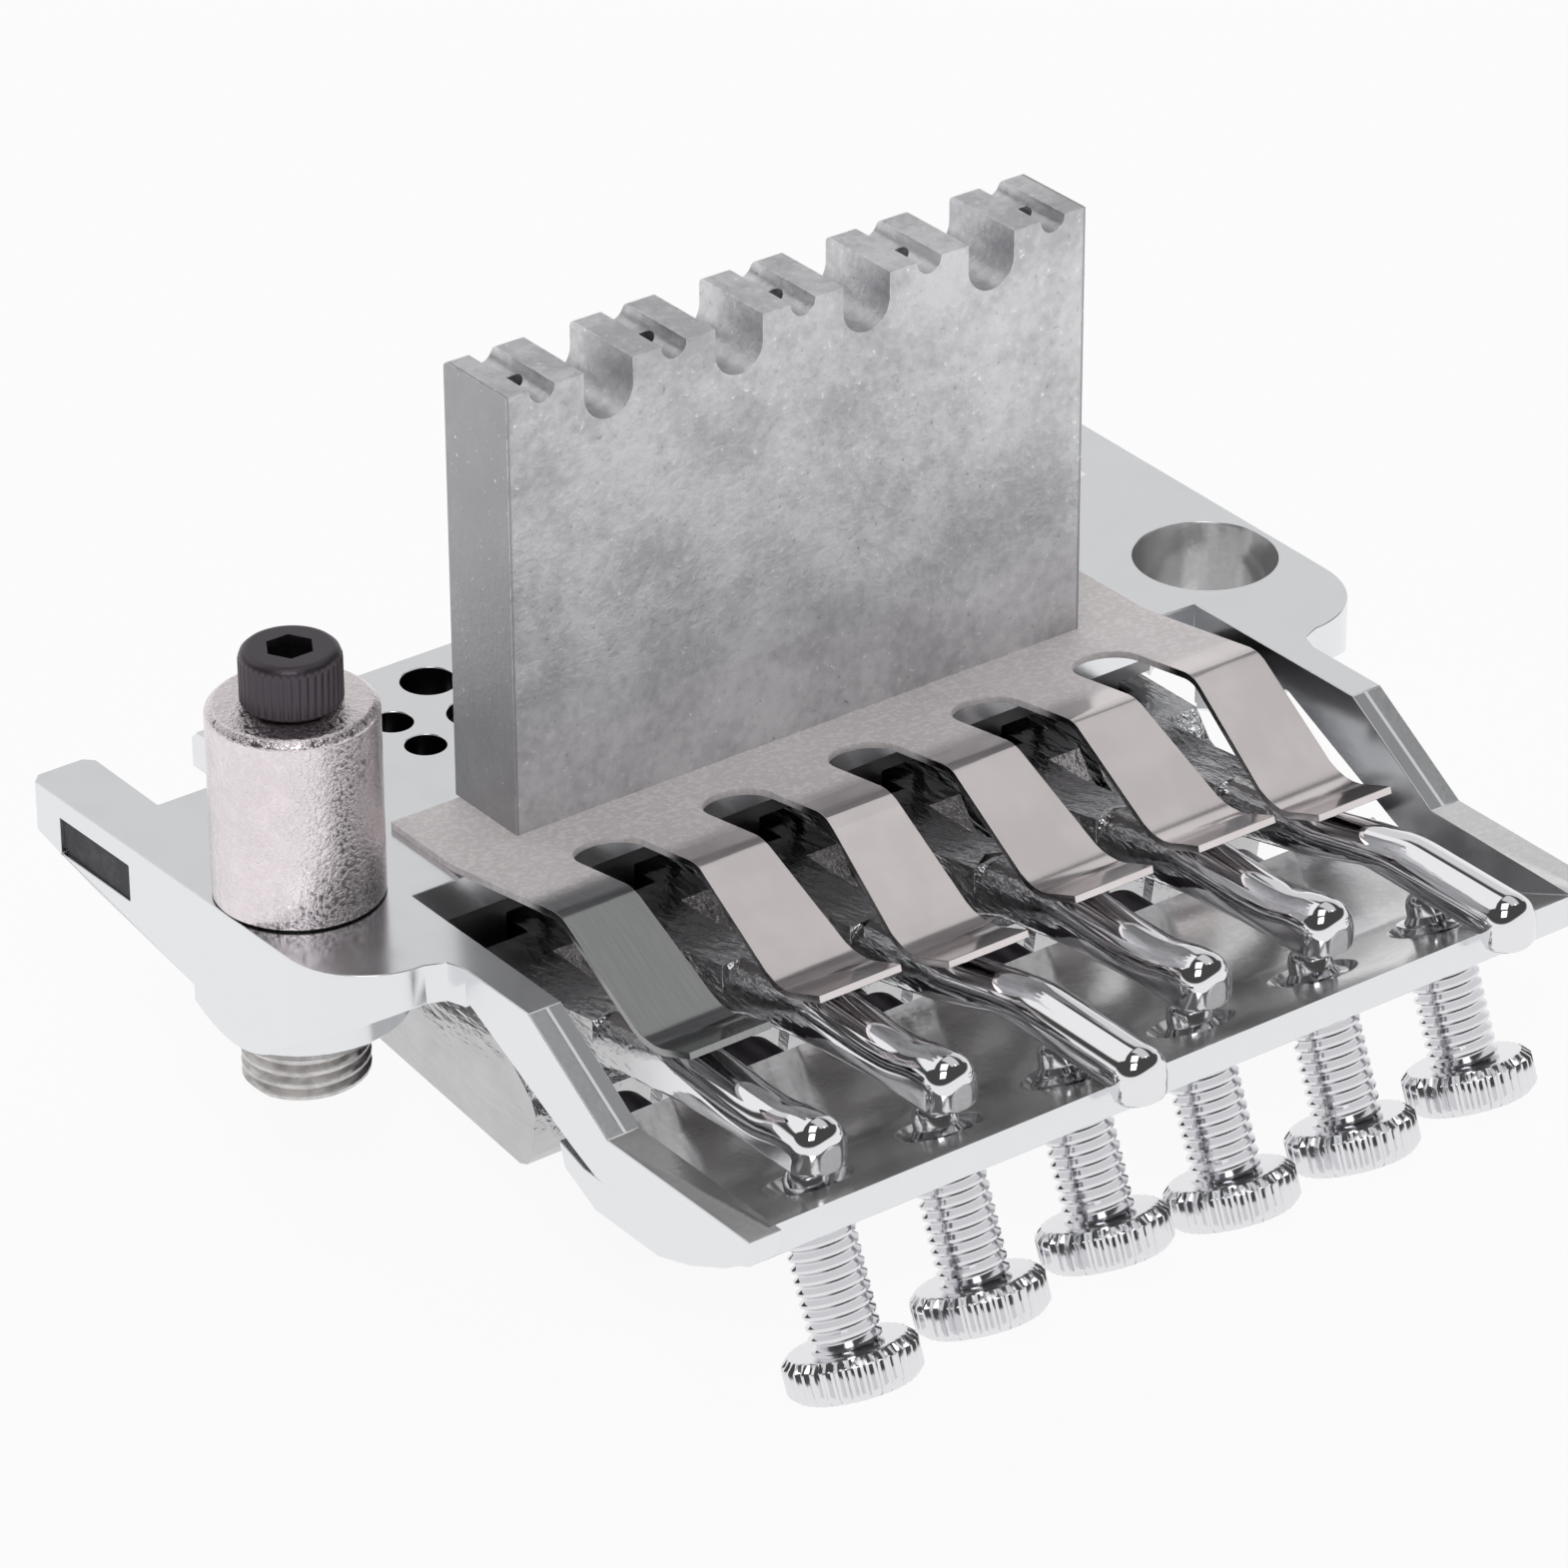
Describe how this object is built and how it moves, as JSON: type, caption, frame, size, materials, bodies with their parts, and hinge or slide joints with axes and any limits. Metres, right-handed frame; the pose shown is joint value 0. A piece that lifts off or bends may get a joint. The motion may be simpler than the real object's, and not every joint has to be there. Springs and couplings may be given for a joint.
{
  "type": "guitar tremolo bridge",
  "caption": "Double-locking tremolo bridge for an electric guitar, upside down: sustain block, tilting saddles with string locks, fine tuners, leaf spring and arm socket.",
  "frame": {"origin": "under the middle of the bridge's bounding box, at its lowest point", "axes": "+Z along the sustain block towards its free edge, as pictured (in a guitar this side faces the body cavity); +Y towards the knife edges; +X to the spare arm hole"},
  "size_m": [0.092, 0.0734, 0.0563],
  "materials": {
    "chrome_casting": "polished",
    "polished_chrome": "mirror polished",
    "tuner_chrome": "plated over a cut thread",
    "cast_zinc": "bare casting, tumbled",
    "spring_sheet": "nickel plated, rolled",
    "satin_nickel": "satin nickel",
    "zinc_steel": "zinc plated",
    "dark_steel": "hardened and blackened",
    "black_oxide": "black oxide, oiled",
    "white_plastic": "moulded"
  },
  "bodies": {
    "bridge": {"base_plate": "chrome_casting", "knife_edge_left": "dark_steel", "knife_edge_right": "dark_steel", "sustain_block": "cast_zinc", "block_screws": "black_oxide", "leaf_spring": "spring_sheet", "arm_barrel": "satin_nickel", "arm_bushing": "zinc_steel", "arm_sleeve": "white_plastic", "hold_down_screws": "black_oxide", "saddle_base_1": "chrome_casting", "saddle_base_2": "chrome_casting", "saddle_base_3": "chrome_casting", "saddle_base_4": "chrome_casting", "saddle_base_5": "chrome_casting", "saddle_base_6": "chrome_casting"},
    "saddle_1": {"saddle_lever_1": "polished_chrome", "pivot_pin_1": "zinc_steel"},
    "lock_1": {"lock_screw_1": "black_oxide"},
    "insert_1": {"insert_block_1": "zinc_steel"},
    "tuner_1": {"fine_tuner_1": "tuner_chrome"},
    "saddle_2": {"saddle_lever_2": "polished_chrome", "pivot_pin_2": "zinc_steel"},
    "lock_2": {"lock_screw_2": "black_oxide"},
    "insert_2": {"insert_block_2": "zinc_steel"},
    "tuner_2": {"fine_tuner_2": "tuner_chrome"},
    "saddle_3": {"saddle_lever_3": "polished_chrome", "pivot_pin_3": "zinc_steel"},
    "lock_3": {"lock_screw_3": "black_oxide"},
    "insert_3": {"insert_block_3": "zinc_steel"},
    "tuner_3": {"fine_tuner_3": "tuner_chrome"},
    "saddle_4": {"saddle_lever_4": "polished_chrome", "pivot_pin_4": "zinc_steel"},
    "lock_4": {"lock_screw_4": "black_oxide"},
    "insert_4": {"insert_block_4": "zinc_steel"},
    "tuner_4": {"fine_tuner_4": "tuner_chrome"},
    "saddle_5": {"saddle_lever_5": "polished_chrome", "pivot_pin_5": "zinc_steel"},
    "lock_5": {"lock_screw_5": "black_oxide"},
    "insert_5": {"insert_block_5": "zinc_steel"},
    "tuner_5": {"fine_tuner_5": "tuner_chrome"},
    "saddle_6": {"saddle_lever_6": "polished_chrome", "pivot_pin_6": "zinc_steel"},
    "lock_6": {"lock_screw_6": "black_oxide"},
    "insert_6": {"insert_block_6": "zinc_steel"},
    "tuner_6": {"fine_tuner_6": "tuner_chrome"},
    "tension_screw": {"arm_tension_screw": "black_oxide"}
  },
  "joints": [
    {"name": "saddle_1_tilt", "type": "hinge", "parent": "bridge", "child": "saddle_1", "pos_m": [-0.027, 0.0138, 0.01407], "axis": [-1, 0, 0], "range_deg": [-0.7, 3.79], "deforming": ["leaf_spring"]},
    {"name": "tuner_1_turn_in", "type": "slide", "parent": "bridge", "child": "tuner_1", "axis": [0, 0.3907, 0.9205], "range_m": [-0.00052, 0.00284]},
    {"name": "lock_1_screw_in", "type": "slide", "parent": "saddle_1", "child": "lock_1", "axis": [0, 0.9999, -0.0123], "range_m": [-0.0006, 0.002]},
    {"name": "insert_1_clamp", "type": "slide", "parent": "saddle_1", "child": "insert_1", "axis": [0, 0.9999, -0.0123], "range_m": [-0.0006, 0.002]},
    {"name": "saddle_2_tilt", "type": "hinge", "parent": "bridge", "child": "saddle_2", "pos_m": [-0.0162, 0.0138, 0.01407], "axis": [-1, 0, 0], "range_deg": [-1.54, 2.95], "deforming": ["leaf_spring"]},
    {"name": "tuner_2_turn_in", "type": "slide", "parent": "bridge", "child": "tuner_2", "axis": [0, 0.3907, 0.9205], "range_m": [-0.00115, 0.0022]},
    {"name": "lock_2_screw_in", "type": "slide", "parent": "saddle_2", "child": "lock_2", "axis": [0, 0.9996, -0.027], "range_m": [-0.0006, 0.002]},
    {"name": "insert_2_clamp", "type": "slide", "parent": "saddle_2", "child": "insert_2", "axis": [0, 0.9996, -0.027], "range_m": [-0.0006, 0.002]},
    {"name": "saddle_3_tilt", "type": "hinge", "parent": "bridge", "child": "saddle_3", "pos_m": [-0.0054, 0.0138, 0.01407], "axis": [-1, 0, 0], "range_deg": [-0.14, 4.35], "deforming": ["leaf_spring"]},
    {"name": "tuner_3_turn_in", "type": "slide", "parent": "bridge", "child": "tuner_3", "axis": [0, 0.3907, 0.9205], "range_m": [-0.0001, 0.00322]},
    {"name": "lock_3_screw_in", "type": "slide", "parent": "saddle_3", "child": "lock_3", "axis": [0, 1, -0.0025], "range_m": [-0.0006, 0.002]},
    {"name": "insert_3_clamp", "type": "slide", "parent": "saddle_3", "child": "insert_3", "axis": [0, 1, -0.0025], "range_m": [-0.0006, 0.002]},
    {"name": "saddle_4_tilt", "type": "hinge", "parent": "bridge", "child": "saddle_4", "pos_m": [0.0054, 0.0138, 0.01407], "axis": [-1, 0, 0], "range_deg": [-1.4, 3.09], "deforming": ["leaf_spring"]},
    {"name": "tuner_4_turn_in", "type": "slide", "parent": "bridge", "child": "tuner_4", "axis": [0, 0.3907, 0.9205], "range_m": [-0.00104, 0.00231]},
    {"name": "lock_4_screw_in", "type": "slide", "parent": "saddle_4", "child": "lock_4", "axis": [0, 0.9997, -0.0245], "range_m": [-0.0006, 0.002]},
    {"name": "insert_4_clamp", "type": "slide", "parent": "saddle_4", "child": "insert_4", "axis": [0, 0.9997, -0.0245], "range_m": [-0.0006, 0.002]},
    {"name": "saddle_5_tilt", "type": "hinge", "parent": "bridge", "child": "saddle_5", "pos_m": [0.0162, 0.0138, 0.01407], "axis": [-1, 0, 0], "range_deg": [-1.68, 2.81], "deforming": ["leaf_spring"]},
    {"name": "tuner_5_turn_in", "type": "slide", "parent": "bridge", "child": "tuner_5", "axis": [0, 0.3907, 0.9205], "range_m": [-0.00125, 0.00209]},
    {"name": "lock_5_screw_in", "type": "slide", "parent": "saddle_5", "child": "lock_5", "axis": [0, 0.9996, -0.0294], "range_m": [-0.0006, 0.002]},
    {"name": "insert_5_clamp", "type": "slide", "parent": "saddle_5", "child": "insert_5", "axis": [0, 0.9996, -0.0294], "range_m": [-0.0006, 0.002]},
    {"name": "saddle_6_tilt", "type": "hinge", "parent": "bridge", "child": "saddle_6", "pos_m": [0.027, 0.0138, 0.01407], "axis": [-1, 0, 0], "range_deg": [-0.14, 4.35], "deforming": ["leaf_spring"]},
    {"name": "tuner_6_turn_in", "type": "slide", "parent": "bridge", "child": "tuner_6", "axis": [0, 0.3907, 0.9205], "range_m": [-0.0001, 0.00322]},
    {"name": "lock_6_screw_in", "type": "slide", "parent": "saddle_6", "child": "lock_6", "axis": [0, 1, -0.0025], "range_m": [-0.0006, 0.002]},
    {"name": "insert_6_clamp", "type": "slide", "parent": "saddle_6", "child": "insert_6", "axis": [0, 1, -0.0025], "range_m": [-0.0006, 0.002]},
    {"name": "tension_screw_out", "type": "slide", "parent": "bridge", "child": "tension_screw", "axis": [0, 0, 1], "range_m": [0, 0.003]}
  ],
  "couplings": [
    {"joint": "saddle_1_tilt", "follows": "tuner_1_turn_in", "rad_per_m": 23.26},
    {"joint": "insert_1_clamp", "follows": "lock_1_screw_in", "ratio": 1},
    {"joint": "saddle_2_tilt", "follows": "tuner_2_turn_in", "rad_per_m": 23.391},
    {"joint": "insert_2_clamp", "follows": "lock_2_screw_in", "ratio": 1},
    {"joint": "saddle_3_tilt", "follows": "tuner_3_turn_in", "rad_per_m": 23.535},
    {"joint": "insert_3_clamp", "follows": "lock_3_screw_in", "ratio": 1},
    {"joint": "saddle_4_tilt", "follows": "tuner_4_turn_in", "rad_per_m": 23.37},
    {"joint": "insert_4_clamp", "follows": "lock_4_screw_in", "ratio": 1},
    {"joint": "saddle_5_tilt", "follows": "tuner_5_turn_in", "rad_per_m": 23.413},
    {"joint": "insert_5_clamp", "follows": "lock_5_screw_in", "ratio": 1},
    {"joint": "saddle_6_tilt", "follows": "tuner_6_turn_in", "rad_per_m": 23.535},
    {"joint": "insert_6_clamp", "follows": "lock_6_screw_in", "ratio": 1}
  ]
}
